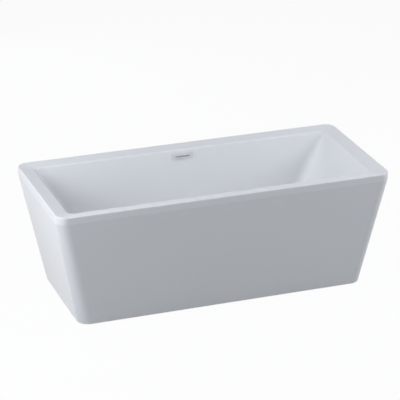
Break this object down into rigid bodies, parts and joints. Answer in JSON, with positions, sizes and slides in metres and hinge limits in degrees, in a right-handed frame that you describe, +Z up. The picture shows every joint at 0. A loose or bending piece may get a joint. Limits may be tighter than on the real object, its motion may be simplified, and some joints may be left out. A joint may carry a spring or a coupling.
{
  "type": "freestanding bathtub",
  "caption": "Rectangular freestanding bath with a dished rim, raked skirt, sloping ends, slotted overflow, press-to-open floor waste and hidden levelling feet.",
  "frame": {"origin": "on the room floor, under the middle of the bath", "axes": "+X along the length, +Y towards the overflow side, +Z up"},
  "size_m": [1.7, 0.75, 0.5991],
  "materials": {
    "acrylic": "gloss, moulded",
    "sealant": "satin",
    "cover_plastic": "satin gloss, moulded",
    "board": "raw chipboard",
    "frame_steel": "satin powder coat",
    "zinc_steel": "zinc plated",
    "pad_plastic": "matt, moulded",
    "pipe_plastic": "satin, moulded",
    "seal_rubber": "matt",
    "chrome": "polished",
    "brass": "machined"
  },
  "bodies": {
    "tub": {"basin_shell": "acrylic", "outer_skirt": "acrylic", "seam_bead": "sealant", "base_board": "board", "front_batten": "board", "rear_batten": "board", "left_batten": "board", "right_batten": "board", "front_rail": "frame_steel", "rear_rail": "frame_steel", "left_cross_bar": "frame_steel", "right_cross_bar": "frame_steel", "left_tie": "frame_steel", "right_tie": "frame_steel", "skirt_brackets": "zinc_steel", "bracket_screws": "zinc_steel", "frame_screws": "zinc_steel", "foot_lock_nuts": "zinc_steel", "foot_weld_nuts": "zinc_steel", "overflow_cover": "cover_plastic", "overflow_gasket": "seal_rubber", "overflow_body": "pipe_plastic", "overflow_screws": "zinc_steel", "overflow_pipe": "pipe_plastic", "overflow_upper_nut": "pipe_plastic", "overflow_lower_nut": "pipe_plastic", "drain_flange": "chrome", "drain_upper_gasket": "seal_rubber", "drain_lower_gasket": "seal_rubber", "drain_back_nut": "pipe_plastic", "drain_tee": "pipe_plastic", "tail_washer": "seal_rubber", "tail_piece": "pipe_plastic", "tail_nut": "pipe_plastic", "stopper_cartridge": "brass", "stopper_spring": "zinc_steel"},
    "stopper": {"stopper_cap": "chrome", "stopper_seal": "seal_rubber", "stopper_stem": "brass"},
    "foot_pad_front_left": {"foot_pad_front_left": "pad_plastic"},
    "foot_stud_front_left": {"foot_stud_front_left": "zinc_steel"},
    "foot_pad_front_right": {"foot_pad_front_right": "pad_plastic"},
    "foot_stud_front_right": {"foot_stud_front_right": "zinc_steel"},
    "foot_pad_rear_left": {"foot_pad_rear_left": "pad_plastic"},
    "foot_stud_rear_left": {"foot_stud_rear_left": "zinc_steel"},
    "foot_pad_rear_right": {"foot_pad_rear_right": "pad_plastic"},
    "foot_stud_rear_right": {"foot_stud_rear_right": "zinc_steel"}
  },
  "joints": [
    {"name": "stopper_lift", "type": "slide", "parent": "tub", "child": "stopper", "axis": [0, 0, 1], "range_m": [0, 0.009], "deforming": ["stopper_spring"]},
    {"name": "foot_level_front_left", "type": "slide", "parent": "tub", "child": "foot_pad_front_left", "axis": [0, 0, 1], "range_m": [-0.02, 0.003]},
    {"name": "foot_turn_front_left", "type": "hinge", "parent": "foot_pad_front_left", "child": "foot_stud_front_left", "pos_m": [-0.6, -0.225, 0.1], "axis": [0, 0, 1], "range_deg": [-4115, 618]},
    {"name": "foot_level_front_right", "type": "slide", "parent": "tub", "child": "foot_pad_front_right", "axis": [0, 0, 1], "range_m": [-0.02, 0.003]},
    {"name": "foot_turn_front_right", "type": "hinge", "parent": "foot_pad_front_right", "child": "foot_stud_front_right", "pos_m": [0.6, -0.225, 0.1], "axis": [0, 0, 1], "range_deg": [-4115, 618]},
    {"name": "foot_level_rear_left", "type": "slide", "parent": "tub", "child": "foot_pad_rear_left", "axis": [0, 0, 1], "range_m": [-0.02, 0.003]},
    {"name": "foot_turn_rear_left", "type": "hinge", "parent": "foot_pad_rear_left", "child": "foot_stud_rear_left", "pos_m": [-0.6, 0.225, 0.1], "axis": [0, 0, 1], "range_deg": [-4115, 618]},
    {"name": "foot_level_rear_right", "type": "slide", "parent": "tub", "child": "foot_pad_rear_right", "axis": [0, 0, 1], "range_m": [-0.02, 0.003]},
    {"name": "foot_turn_rear_right", "type": "hinge", "parent": "foot_pad_rear_right", "child": "foot_stud_rear_right", "pos_m": [0.6, 0.225, 0.1], "axis": [0, 0, 1], "range_deg": [-4115, 618]}
  ],
  "couplings": [
    {"joint": "foot_turn_front_left", "follows": "foot_level_front_left", "rad_per_m": 3590.4},
    {"joint": "foot_turn_front_right", "follows": "foot_level_front_right", "rad_per_m": 3590.4},
    {"joint": "foot_turn_rear_left", "follows": "foot_level_rear_left", "rad_per_m": 3590.4},
    {"joint": "foot_turn_rear_right", "follows": "foot_level_rear_right", "rad_per_m": 3590.4}
  ]
}
